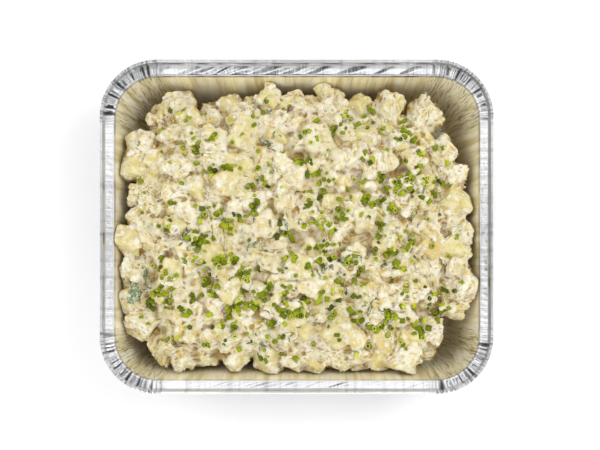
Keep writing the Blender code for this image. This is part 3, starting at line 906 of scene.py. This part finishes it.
def make_tray():
    outline = Outline()
    lines = tray_profile()
    normals = profile_normals(np.array([line[:2] for line in lines]))
    upper, lower, marks = [], [], []
    for (inset, height, part, share), normal in zip(lines, normals):
        depth = fold_depth(outline, part, share)
        marks.append(foil_marks(outline, part, share, depth))
        reach = {"wall": share, "mouth": 1.0, "flange": 1 - share}.get(part, 0.0)
        shift = reach * by_side(outline.angle, MOUTH_SHIFT)
        for rows, off in ((upper, depth), (lower, depth - SHEET)):
            x, y = outline.plan(inset + off * normal[0] - shift)
            rows.append(np.stack([x, y, height + off * normal[1]], axis=1))
    under = [row for row, line in zip(lower, lines) if line[2] != "bead"][::-2]
    floor_under = lower[0].copy()
    floor_under[:, 2] = 0.0
    rings = upper + under + [floor_under]
    tray = lofted("foil_tray_skin", [row.tolist() for row in rings], foil_material())
    hidden = [np.zeros((len(rings) - len(upper)) * len(outline.along))]
    for name in marks[0]:
        set_attribute(tray.data, name, np.concatenate([mark[name] for mark in marks] + hidden))
    set_attribute(tray.data, "corner", np.tile(outline.corner, len(rings)))
    set_attribute(tray.data, "around", np.tile(outline.along, len(rings)))
    return tray


# Mound


def mound_foot():
    """The mound's foot, just beyond the potatoes of its edge, as angles and distances from its middle."""
    rows = [(math.atan2(y - MIDDLE_Y, x), math.hypot(x, y - MIDDLE_Y)) for x, y, _, _ in EDGE_POTATOES]
    return np.array([(angle, distance + FOOT_BEYOND) for angle, distance in sorted(rows)]).T


FOOT_ANGLES, FOOT_DISTANCES = mound_foot()


def foot_distance(angle):
    return float(np.interp(angle, FOOT_ANGLES, FOOT_DISTANCES, period=math.tau))


def heap_level(x, y):
    """0 over the middle of the mound and 1 round its foot."""
    return math.hypot(x, y - MIDDLE_Y) / foot_distance(math.atan2(y - MIDDLE_Y, x))


def level_height(level):
    """Height of the mound's smooth top under the potatoes."""
    return EDGE_HEIGHT + (CROWN_HEIGHT - EDGE_HEIGHT) * math.sqrt(1 - min(level, 1.0) ** DOME_POWER)


def wall_margin(x, y, z):
    """How far points lie inside the tray's wall at their height, in plan."""
    wall_height = FLANGE_HEIGHT - FOIL - BASE_ROUND
    share = np.clip((FLANGE_HEIGHT - z) / wall_height, 0, 1)
    inset = MOUTH_INSET + WALL_DRAFT * share
    radius, reach_x, reach_y = corner_form(inset)
    over_x, over_y = np.abs(x) - reach_x, np.abs(y) - reach_y
    outside = np.hypot(np.maximum(over_x, 0), np.maximum(over_y, 0))
    return radius - outside - np.minimum(np.maximum(over_x, over_y), 0)


def ring(inset, height, steps=12):
    """A rounded rectangle at one level inside the tray."""
    radius, reach_x, reach_y = map(float, corner_form(inset))
    points = []
    for quadrant, (side_x, side_y) in enumerate(QUADRANTS):
        for step in range(steps + 1):
            angle = math.radians(90) * (quadrant + step / steps)
            x = side_x * reach_x + radius * math.cos(angle)
            points.append((x, side_y * reach_y + radius * math.sin(angle), height))
    return points


def make_core():
    """The smooth body of the mound, cut to the inside of the tray."""
    levels = [(step / CORE_RINGS) ** CORE_RING_CROWDING for step in range(CORE_RINGS, 0, -1)]
    rings = []
    for level, height in [(1.0, 0.0)] + [(level, level_height(level)) for level in levels]:
        points = []
        for k in range(CORE_SIDES):
            angle = math.tau * k / CORE_SIDES
            reach = foot_distance(angle) * level
            points.append((reach * math.cos(angle), MIDDLE_Y + reach * math.sin(angle), height))
        rings.append(points)
    core = lofted("mound_core", rings)
    cavity = lofted("cavity", [
        ring(BASE_INSET + WALL_GAP, FOIL + FLOOR_GAP),
        ring(MOUTH_INSET + WALL_DRAFT + WALL_GAP, FOIL + BASE_ROUND),
        ring(MOUTH_INSET + MOUTH_ROUND + WALL_GAP, FLANGE_HEIGHT - MOUTH_ROUND),
        ring(MOUTH_INSET + MOUTH_ROUND + WALL_GAP, CROWN_HEIGHT + HEADROOM),
    ])
    modified(core, "BOOLEAN", operation="INTERSECT", object=cavity)
    bpy.data.objects.remove(cavity)
    return core


def potato_places():
    """Centre, size and turn of each cut potato: the edge's own, then a jittered triangular grid."""
    draw = random.Random(POTATO_SEED)
    plan = list(EDGE_POTATOES)
    row_gap = POTATO_PITCH * math.sqrt(3) / 2
    rows = math.ceil(RIM_WIDTH / 2 / row_gap)
    columns = math.ceil(RIM_LENGTH / 2 / POTATO_PITCH)
    for row in range(-rows, rows + 1):
        for column in range(-columns, columns + 1):
            jitter = [draw.uniform(-POTATO_SPREAD, POTATO_SPREAD) * POTATO_PITCH for _ in range(2)]
            x = (column + 0.5 * (row % 2)) * POTATO_PITCH + jitter[0]
            y = row * row_gap + jitter[1]
            size = draw.uniform(*POTATO_SIZE)
            z = level_height(heap_level(x, y)) - size * draw.uniform(*POTATO_SINK)
            apart = min(math.hypot(x - edge[0], y - edge[1]) for edge in EDGE_POTATOES)
            if apart > POTATO_APART and heap_level(x, y) < POTATO_LEVEL:
                plan.append((x, y, z, size))
    turns = [[draw.uniform(0, math.tau) for _ in range(3)] for _ in plan]
    return [(Vector((x, y, z)), size, turn) for (x, y, z, size), turn in zip(plan, turns)]


def potato_hull(place, index):
    """An unevenly cut cube of potato: the hull of a box with each corner cut off at its own depth."""
    centre, size, turn = place
    draw = random.Random(index)
    half = [size * draw.uniform(*POTATO_HALF) for _ in range(3)]
    bm = bmesh.new()
    for corner in range(8):
        signs = [1 if corner >> bit & 1 else -1 for bit in range(3)]
        kept = corner % 3
        for axis in range(3):
            if axis == kept:
                continue
            point = Vector([sign * reach for sign, reach in zip(signs, half)])
            point[axis] *= draw.uniform(*POTATO_CUT)
            bm.verts.new(point)
    hull = bmesh.ops.convex_hull(bm, input=bm.verts)
    bmesh.ops.delete(bm, geom=hull["geom_interior"] + hull["geom_unused"], context="VERTS")
    bmesh.ops.recalc_face_normals(bm, faces=bm.faces)
    place = Matrix.Translation(centre) @ turned(turn[0], turn[1], "X") @ Matrix.Rotation(turn[2], 4, "Y")
    bmesh.ops.transform(bm, matrix=place, verts=bm.verts)
    return bm


class Collector:
    """Gathers small meshes into one, with a number for each point under each mark's name."""

    def __init__(self):
        self.points, self.faces, self.marks = [], [], {}

    def add(self, points, faces, **marks):
        start = len(self.points)
        self.points += [tuple(point) for point in points]
        self.faces += [[start + i for i in face] for face in faces]
        for name, value in marks.items():
            values = value if isinstance(value, list) else [value] * len(points)
            self.marks.setdefault(name, []).extend(values)

    def build(self, name, material=None):
        obj = mesh_object(name, self.points, self.faces, material)
        for mark, values in self.marks.items():
            set_attribute(obj.data, mark, np.array(values))
        return obj


def surface_tree(obj):
    bm = bmesh.new()
    bm.from_mesh(obj.data)
    tree = BVHTree.FromBMesh(bm)
    bm.free()
    return tree


def highest(trees, x, y, clear=-math.inf):
    """Point and normal of the highest surface straight under a place, or None if there is none or the
    tray's wall is nearer than the clearance."""
    above = Vector((x, y, CROWN_HEIGHT + 2 * HEADROOM))
    hits = [tree.ray_cast(above, -UP) for tree in trees]
    hits = [hit[:2] for hit in hits if hit[0]]
    top = max(hits, key=lambda hit: hit[0].z) if hits else None
    return top if top and wall_margin(x, y, top[0].z) >= clear else None


def mostly_small(draw, least, most, power):
    """A random radius, the more often small the higher the power."""
    return least + (most - least) * draw.random() ** power


def add_lumps(gathered, tree):
    """Crumbled potato between the large pieces, from a pea down to a grain in size."""
    draw = random.Random(LUMP_SEED)
    shape, faces = rough_ball()
    for _ in range(LUMP_COUNT):
        x, y = anywhere(draw)
        radius = mostly_small(draw, *LUMP_RADIUS)
        stretch = [radius * draw.uniform(*LUMP_STRETCH) for _ in range(3)]
        turn = draw.uniform(0, math.tau)
        found = highest([tree], x, y, LUMP_CLEAR)
        if found is None:
            continue
        size = Matrix.Diagonal((*stretch, 1.0))
        middle = Matrix.Translation(found[0] - found[1] * radius * LUMP_SINK)
        place = middle @ turned(turn, turn * 2, "X") @ size
        gathered.add([place @ (point * draw.uniform(*LUMP_JAGGED)) for point in shape], faces)


def smoothed(mesh, points, steps):
    """Points moved halfway to the mean of their neighbours in a mesh, a number of times."""
    pairs = np.empty(len(mesh.edges) * 2, np.int32)
    mesh.edges.foreach_get("vertices", pairs)
    first, second = pairs.reshape(-1, 2).T
    count = np.maximum(np.bincount(pairs, minlength=len(points)), 1)[:, None]
    for _ in range(steps):
        total = np.zeros_like(points)
        np.add.at(total, first, points[second])
        np.add.at(total, second, points[first])
        points = 0.5 * points + 0.5 * total / count
    return points


def set_inside(mesh, points):
    """Sets a mesh's points, with those in or past the tray's wall moved back inside it."""
    x, y, z = points.T
    step = 1e-5
    margin = wall_margin(x, y, z)
    slope_x = (wall_margin(x + step, y, z) - margin) / step
    slope_y = (wall_margin(x, y + step, z) - margin) / step
    short = np.maximum(WALL_GAP - margin, 0)
    points[:, 0] += slope_x * short
    points[:, 1] += slope_y * short
    points[:, 2] = np.maximum(points[:, 2], FOIL + FLOOR_GAP)
    mesh.vertices.foreach_set("co", points.astype(np.float32).ravel())
    mesh.update()


def local_height(points, cell=0.001, reach=0.005):
    """The mound's top height, blurred over a reach, under each point."""
    low = np.array([-RIM_LENGTH / 2, -RIM_WIDTH / 2])
    shape = (int(RIM_LENGTH / cell) + 2, int(RIM_WIDTH / cell) + 2)
    index = np.clip(((points[:, :2] - low) / cell).astype(int), 0, np.array(shape) - 1)
    top = np.zeros(shape)
    np.maximum.at(top, (index[:, 0], index[:, 1]), points[:, 2])
    filled = (top > 0).astype(float)
    span = np.arange(-3 * reach, 3 * reach + cell, cell)
    kernel = np.exp(-0.5 * (span / reach) ** 2)
    for axis in (0, 1):
        top = np.apply_along_axis(np.convolve, axis, top, kernel, "same")
        filled = np.apply_along_axis(np.convolve, axis, filled, kernel, "same")
    blurred = top / np.maximum(filled, 1e-6)
    return blurred[index[:, 0], index[:, 1]]


def thin_hidden_side(obj):
    """Fewer faces where the mound lies against the tray."""
    points = vertex_array(obj.data)
    hidden = (wall_margin(*points.T) < HIDDEN_MARGIN) | (points[:, 2] < HIDDEN_HEIGHT)
    hidden &= normal_array(obj.data)[:, 2] < HIDDEN_UPWARD
    group = obj.vertex_groups.new(name="hidden")
    group.add(np.nonzero(hidden)[0].tolist(), 1.0, "REPLACE")
    modified(
        obj, "DECIMATE", vertex_group="hidden", vertex_group_factor=10.0,
        ratio=1 - HIDDEN_THINNED * float(hidden.mean()),
    )
    obj.vertex_groups.clear()


def thin_to(obj, faces):
    """Fewer triangles on the flattest parts, down to a number of them."""
    triangles = sum(len(polygon.vertices) - 2 for polygon in obj.data.polygons)
    modified(obj, "DECIMATE", ratio=min(faces / triangles, 1.0))


def shape_dressing(obj):
    """Gives the joined pieces the lumps and creases of creamy potato, and notes its hollows and creases,
    where shade is painted.
    """
    mesh = obj.data
    points = smoothed(mesh, vertex_array(mesh), SMOOTHING_STEPS)
    set_inside(mesh, points)
    normals = normal_array(mesh)
    gap = np.clip(local_height(points) - points[:, 2] - GAP_LEFT, 0, GAP_DEEPEST)
    open_above = smoothstep(*OPEN_ABOVE, normals[:, 2]) * (points[:, 2] > EDGE_HEIGHT)
    points[:, 2] += GAP_FILLED * gap * open_above
    relief = sum(
        depth * shape(points, *form) for shape, (depth, *form) in (
            (fractal, BROAD_RELIEF), (billow, ROUND_RELIEF), (billow, CREASED_RELIEF),
            (smear, DRAGGED_RELIEF), (noise, FINE_RELIEF),
        )
    )
    free = smoothstep(WALL_GAP, WALL_GAP + RELIEF_FADE, wall_margin(*points.T))
    points += normals * (relief * free)[:, None]
    set_inside(mesh, points)
    # Masks for painted shade in the hollows and creases
    standing = points[:, 2] - local_height(points)
    set_attribute(mesh, "depth", smoothstep(*HOLLOW_SHADE_RANGE, standing))
    beneath = smoothed(mesh, points, CREASE_BLUR) - points
    hollow = np.sum(beneath * normal_array(mesh), axis=1)
    set_attribute(mesh, "crease", smoothstep(*CREASE_SHADE_RANGE, hollow))


def make_dressing(potatoes):
    gathered = Collector()
    core = make_core()
    gathered.add([v.co for v in core.data.vertices], [list(p.vertices) for p in core.data.polygons])
    bpy.data.objects.remove(core)
    for index, place in enumerate(potatoes):
        gathered.add(*mesh_data(potato_hull(place, index)))
    uncoated = gathered.build("uncoated_mound")
    add_lumps(gathered, surface_tree(uncoated))
    bpy.data.objects.remove(uncoated)
    dressing = gathered.build("creamy_dressing", dressing_material())
    modified(dressing, "REMESH", mode="VOXEL", voxel_size=VOXEL)
    thin_hidden_side(dressing)
    shape_dressing(dressing)
    thin_to(dressing, DRESSING_FACES)
    dressing.data.shade_smooth()
    return dressing


def make_potatoes(potatoes):
    """The potatoes with bare faces: softened edges, and faces a little uneven from the knife."""
    choose = random.Random(BARE_SEED)
    draw = random.Random(BARE_LOOK_SEED)
    gathered = Collector()
    for index in [index for index in range(len(potatoes)) if choose.random() < BARE_SHARE]:
        bm = potato_hull(potatoes[index], index)
        flat = [edge for edge in bm.edges if edge.calc_face_angle(0.0) < BARE_FLAT]
        bmesh.ops.dissolve_edges(bm, edges=flat, use_verts=True)
        bmesh.ops.bevel(
            bm, geom=bm.edges[:] + bm.verts[:], offset=BARE_BEVEL, segments=2, profile=0.6,
            affect="EDGES", clamp_overlap=True,
        )
        bmesh.ops.triangulate(bm, faces=bm.faces)
        for _ in range(3):
            long_edges = [edge for edge in bm.edges if edge.calc_length() > BARE_EDGE]
            if long_edges:
                bmesh.ops.subdivide_edges(bm, edges=long_edges, cuts=1)
                bmesh.ops.triangulate(bm, faces=bm.faces)
        gathered.add(*mesh_data(bm), tint=draw.random(), smear=draw.uniform(*BARE_CREAM))
    chunks = gathered.build("potato_chunks", potato_material())
    points = vertex_array(chunks.data)
    uneven = BARE_RELIEF * (1 + fractal(points, *BARE_UNEVEN) + smear(points, BARE_DRAG_SEED))
    points += normal_array(chunks.data) * uneven[:, None]
    set_inside(chunks.data, points)
    # How far each point faces up, for painted shade on the potatoes' sides
    set_attribute(chunks.data, "upward_for_painted_shade", normal_array(chunks.data)[:, 2])
    return chunks


def make_crumbs(trees):
    """Crumbs of potato in dressing, down to a grain in size, half sunk all over the mound."""
    draw = random.Random(CRUMB_SEED)
    shape, faces = rough_ball()
    gathered = Collector()
    while len(gathered.points) < CRUMB_COUNT * len(shape):
        x, y = anywhere(draw)
        radius = mostly_small(draw, *CRUMB_RADIUS)
        found = highest(trees, x, y, WALL_GAP + radius * CRUMB_CLEAR)
        if found is None:
            continue
        point, normal = found
        long, wide = [radius * draw.uniform(*span) for span in CRUMB_STRETCH[:2]]
        stretch = Matrix.Diagonal((long, wide, radius * CRUMB_STRETCH[2], 1.0))
        turn, lean = draw.uniform(0, math.tau), draw.uniform(-CRUMB_LEAN, CRUMB_LEAN)
        sunk = radius * draw.uniform(*CRUMB_SINK)
        place = placed_on(point + normal * sunk, normal) @ turned(turn, lean, "Y") @ stretch
        jagged = [place @ (corner * draw.uniform(*CRUMB_JAGGED)) for corner in shape]
        gathered.add(jagged, faces, shade=draw.random())
    return gathered.build("crumbs", crumb_material())


# Chopped greens and onion


def lay(gathered, points, faces, found, lift, lie, shade):
    """Adds a piece on the surface, lifted a little and halfway between upright and the surface's way."""
    point, normal = found
    place = placed_on(point + normal * lift, (normal + UP).normalized()) @ lie
    gathered.add([place @ Vector(corner) for corner in points], faces, shade=shade)


def chive_places():
    """Plan position, turn, tilt, radius and length of each chopped chive, the largest first."""
    draw = random.Random(CHIVE_SEED)
    places = []
    for middle_x, middle_y, count in CHIVE_CLUSTERS:
        spread = CHIVE_SPREAD + CHIVE_SPREAD_GROWTH * math.sqrt(count)
        for _ in range(count):
            x, y = draw.gauss(middle_x, spread), draw.gauss(middle_y, spread)
            places.append((x, y, *chive_form(draw, CHIVE_RADIUS, CHIVE_LENGTH)))
    for _ in range(CHIVE_STRAYS):
        places.append((*anywhere(draw), *chive_form(draw, CHIVE_RADIUS, CHIVE_LENGTH)))
    places = [place for place in places if heap_level(place[0], place[1]) < CHIVE_LEVEL]
    return sorted(places, key=lambda place: -place[4] * place[5])


def chive_form(draw, radius, length):
    """Turn, tilt, radius and length."""
    tilt = (-CHIVE_TILT, CHIVE_TILT)
    return [draw.uniform(*span) for span in ((0, math.tau), tilt, radius, length)]


def beside(draw, places, spread):
    """A random plan position beside one of some places."""
    return [draw.gauss(value, spread) for value in draw.choice(places)[:2]]


def chive_bits():
    """The smallest chives, two in three of them near a cluster."""
    draw = random.Random(CHIVE_BIT_SEED)
    for index in range(CHIVE_BITS):
        place = beside(draw, CHIVE_CLUSTERS, CHIVE_BIT_SPREAD) if index % 3 else anywhere(draw)
        yield (*place, *chive_form(draw, CHIVE_BIT_RADIUS, CHIVE_BIT_LENGTH))


def chive_mesh(radius, length, flatness, bend, sides=12, rows=4):
    """A hollow cut of chive along X, a little flattened and bent."""
    points, faces = [], []
    for share in (1.0, CHIVE_HOLLOW):
        for row in range(rows):
            x = length * (row / (rows - 1) - 0.5)
            lift = bend * (4 * (x / length) ** 2)
            for k in range(sides):
                angle = math.tau * k / sides
                y = radius * share * math.cos(angle)
                z = radius * share * flatness * math.sin(angle) + lift
                points.append((x, y, z))

    def at(skin, row, k):
        return (skin * rows + row) * sides + k % sides

    last = rows - 1
    for k in range(sides):
        for row in range(last):
            faces.append((at(0, row, k), at(0, row, k + 1), at(0, row + 1, k + 1), at(0, row + 1, k)))
            faces.append((at(1, row, k), at(1, row + 1, k), at(1, row + 1, k + 1), at(1, row, k + 1)))
        faces.append((at(0, 0, k), at(1, 0, k), at(1, 0, k + 1), at(0, 0, k + 1)))
        faces.append((at(0, last, k), at(0, last, k + 1), at(1, last, k + 1), at(1, last, k)))
    return points, faces


def make_chives(trees):
    draw = random.Random(CHIVE_LOOK_SEED)
    gathered = Collector()
    for x, y, turn, tilt, radius, length in chive_places() + list(chive_bits()):
        found = highest(trees, x, y)
        if found is None or heap_level(x, y) > CHIVE_LEVEL:
            continue
        radius *= CHIVE_GROWTH
        if draw.random() < UPRIGHT_SHARE:
            tilt = math.radians(90) + draw.uniform(-UPRIGHT_LEAN, UPRIGHT_LEAN)
            radius *= UPRIGHT_GROWTH
            length = min(length, UPRIGHT_LENGTH * radius)
        flatness = draw.uniform(*CHIVE_FLATNESS)
        bend = draw.uniform(-CHIVE_BEND, CHIVE_BEND) * length
        points, faces = chive_mesh(radius, length, flatness, bend)
        lift = radius * draw.uniform(*CHIVE_LIFT)
        shade = min(max(draw.gauss(*CHIVE_SHADE), 0.0), 1.0)
        inside = min(shade + CHIVE_SHADE_INSIDE, 1.0)
        half = len(points) // 2
        shades = [shade] * half + [inside] * half
        lay(gathered, points, faces, found, lift, turned(turn, tilt, "Y"), shades)
    return gathered.build("chopped_chives", chive_material())


def strip_mesh(length, width, thick, curl, bow, draw, rows=9):
    """A small torn strip of leaf along X, closed, curled up at its ends and bowed sideways."""
    points, faces = [], []
    for row in range(rows):
        share = row / (rows - 1)
        belly = math.sin(math.pi * min(max(share, 0.06), 0.94))
        half = width / 2 * (STRIP_POINT + (1 - STRIP_POINT) * belly)
        half *= draw.uniform(*STRIP_RAGGED)
        x = length * (share - 0.5)
        bend = 4 * (share - 0.5) ** 2
        middle = bow * length * bend + draw.uniform(-STRIP_WAVER, STRIP_WAVER) * width
        rise = curl * length * bend
        crown = rise + STRIP_CROWN * half
        low = half * 0.9
        top = ((-half, rise), (0, crown), (half, rise))
        bottom = ((low, rise - thick), (0, crown - thick), (-low, rise - thick))
        points += [(x, y + middle, z) for y, z in top + bottom]
    for row in range(rows - 1):
        for k in range(6):
            a, b = row * 6 + k, row * 6 + (k + 1) % 6
            faces.append((a, a + 6, b + 6, b))
    faces.append(tuple(range(6)))
    faces.append(tuple(range((rows - 1) * 6, rows * 6))[::-1])
    return points, faces


def strip_places(draw, large, count, lengths, widths):
    """Plan position, turn, length and width: the large ones as listed, then small ones round them."""
    for x, y, length, width, turn in large:
        yield x, y, math.radians(turn), length, width
    for _ in range(count):
        place = beside(draw, large, STRIP_SPREAD) if draw.random() < STRIPS_BESIDE else anywhere(draw)
        yield (*place, draw.uniform(0, math.tau), draw.uniform(*lengths), draw.uniform(*widths))


def make_strips(name, trees):
    """Lays small strips of leaf or onion over the mound, partly sunk in the dressing."""
    seed, *spans, thick, look = STRIPS[name]
    draw = random.Random(seed)
    gathered = Collector()
    for x, y, turn, length, width in strip_places(draw, *spans):
        found = highest(trees, x, y, STRIP_CLEAR)
        if found is None or heap_level(x, y) > 1:
            continue
        curl = draw.uniform(*STRIP_CURL)
        bow = draw.uniform(-STRIP_BOW[1], STRIP_BOW[1]) * (length > STRIP_BOW[0] * width)
        points, faces = strip_mesh(length, width, thick, curl, bow, draw)
        lie = turned(turn, draw.uniform(-STRIP_LEAN, STRIP_LEAN), "X")
        lay(gathered, points, faces, found, draw.uniform(*STRIP_LIFT), lie, draw.random())
    return gathered.build(name, flake_material(*look))


# Stage


def make_floor():
    bpy.ops.mesh.primitive_plane_add(size=FLOOR_SIZE, location=(0, 0, FLOOR_LEVEL))
    floor = bpy.context.object
    floor.name = "floor"
    floor.data.materials.append(floor_material())
    floor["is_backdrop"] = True


def add_lamp(name, place, size, power, mirrored):
    lamp = bpy.data.lights.new(name, "AREA")
    lamp.shape = "RECTANGLE"
    lamp.size, lamp.size_y = size
    lamp.energy = power
    obj = link(name, lamp)
    obj.location = place
    aim = Vector(LAMP_TARGET) - Vector(place)
    obj.rotation_euler = aim.to_track_quat("-Z", "Y").to_euler()
    obj.visible_glossy = mirrored


def make_world():
    """Rows of large soft panels overhead with darker gaps between them, and plain grey walls."""
    world = bpy.data.worlds.new("studio")
    bpy.context.scene.world = world
    look = Nodes(world)
    way = look.add("SeparateXYZ", {0: look.add("TexCoord").outputs["Generated"]}).outputs
    rise = look.math("MAXIMUM", way["Z"], PANEL_LOWEST)
    waves = []
    for axis, pitch, phase in zip("XY", PANEL_PITCH, PANEL_PHASE):
        along = look.math("DIVIDE", way[axis], rise)
        waves.append(look.math("COSINE", look.math("MULTIPLY_ADD", along, math.tau / pitch, phase)))
    height = look.math("MULTIPLY_ADD", look.math("ADD", *waves), 0.25, 0.5)
    panels = look.ramp(height, (0.38, PANEL_GAP), (0.50, 1.0))
    edge = {"Value": way["Z"], "From Min": PANEL_EDGE[0], "From Max": PANEL_EDGE[1]}
    overhead = look.add("MapRange", edge, interpolation_type="SMOOTHSTEP").outputs["Result"]
    background = look.tree.nodes["Background"]
    look.put(look.mix(overhead, HORIZON_GREY, panels), background.inputs["Color"])
    look.put(PANEL_LIGHT, background.inputs["Strength"])


def make_camera():
    camera = bpy.data.cameras.new("camera")
    camera.lens = CAMERA_LENS
    camera.sensor_width = CAMERA_SENSOR
    camera.shift_y = CAMERA_SHIFT_Y
    camera.clip_start = 0.01
    obj = link("camera", camera)
    obj.location = CAMERA_PLACE
    bpy.context.scene.camera = obj


def main():
    make_floor()
    make_world()
    for lamp in LAMPS:
        add_lamp(*lamp)
    bpy.context.scene.view_settings.view_transform = "Standard"
    make_camera()
    tray = make_tray()
    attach(tray, "root")
    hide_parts("foil_tray")
    potatoes = potato_places()
    dressing = make_dressing(potatoes)
    chunks = make_potatoes(potatoes)
    trees = [surface_tree(dressing), surface_tree(chunks)]
    pieces = [dressing, chunks, make_crumbs(trees), make_chives(trees)]
    pieces += [make_strips(name, trees) for name in STRIPS]
    for piece in pieces:
        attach(piece, "root")
        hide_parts("potato_salad")


main()
boxes = {"cad": CAD_BOX, "visual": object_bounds()}
{key: [list(corner) for corner in box] for key, box in boxes.items()}
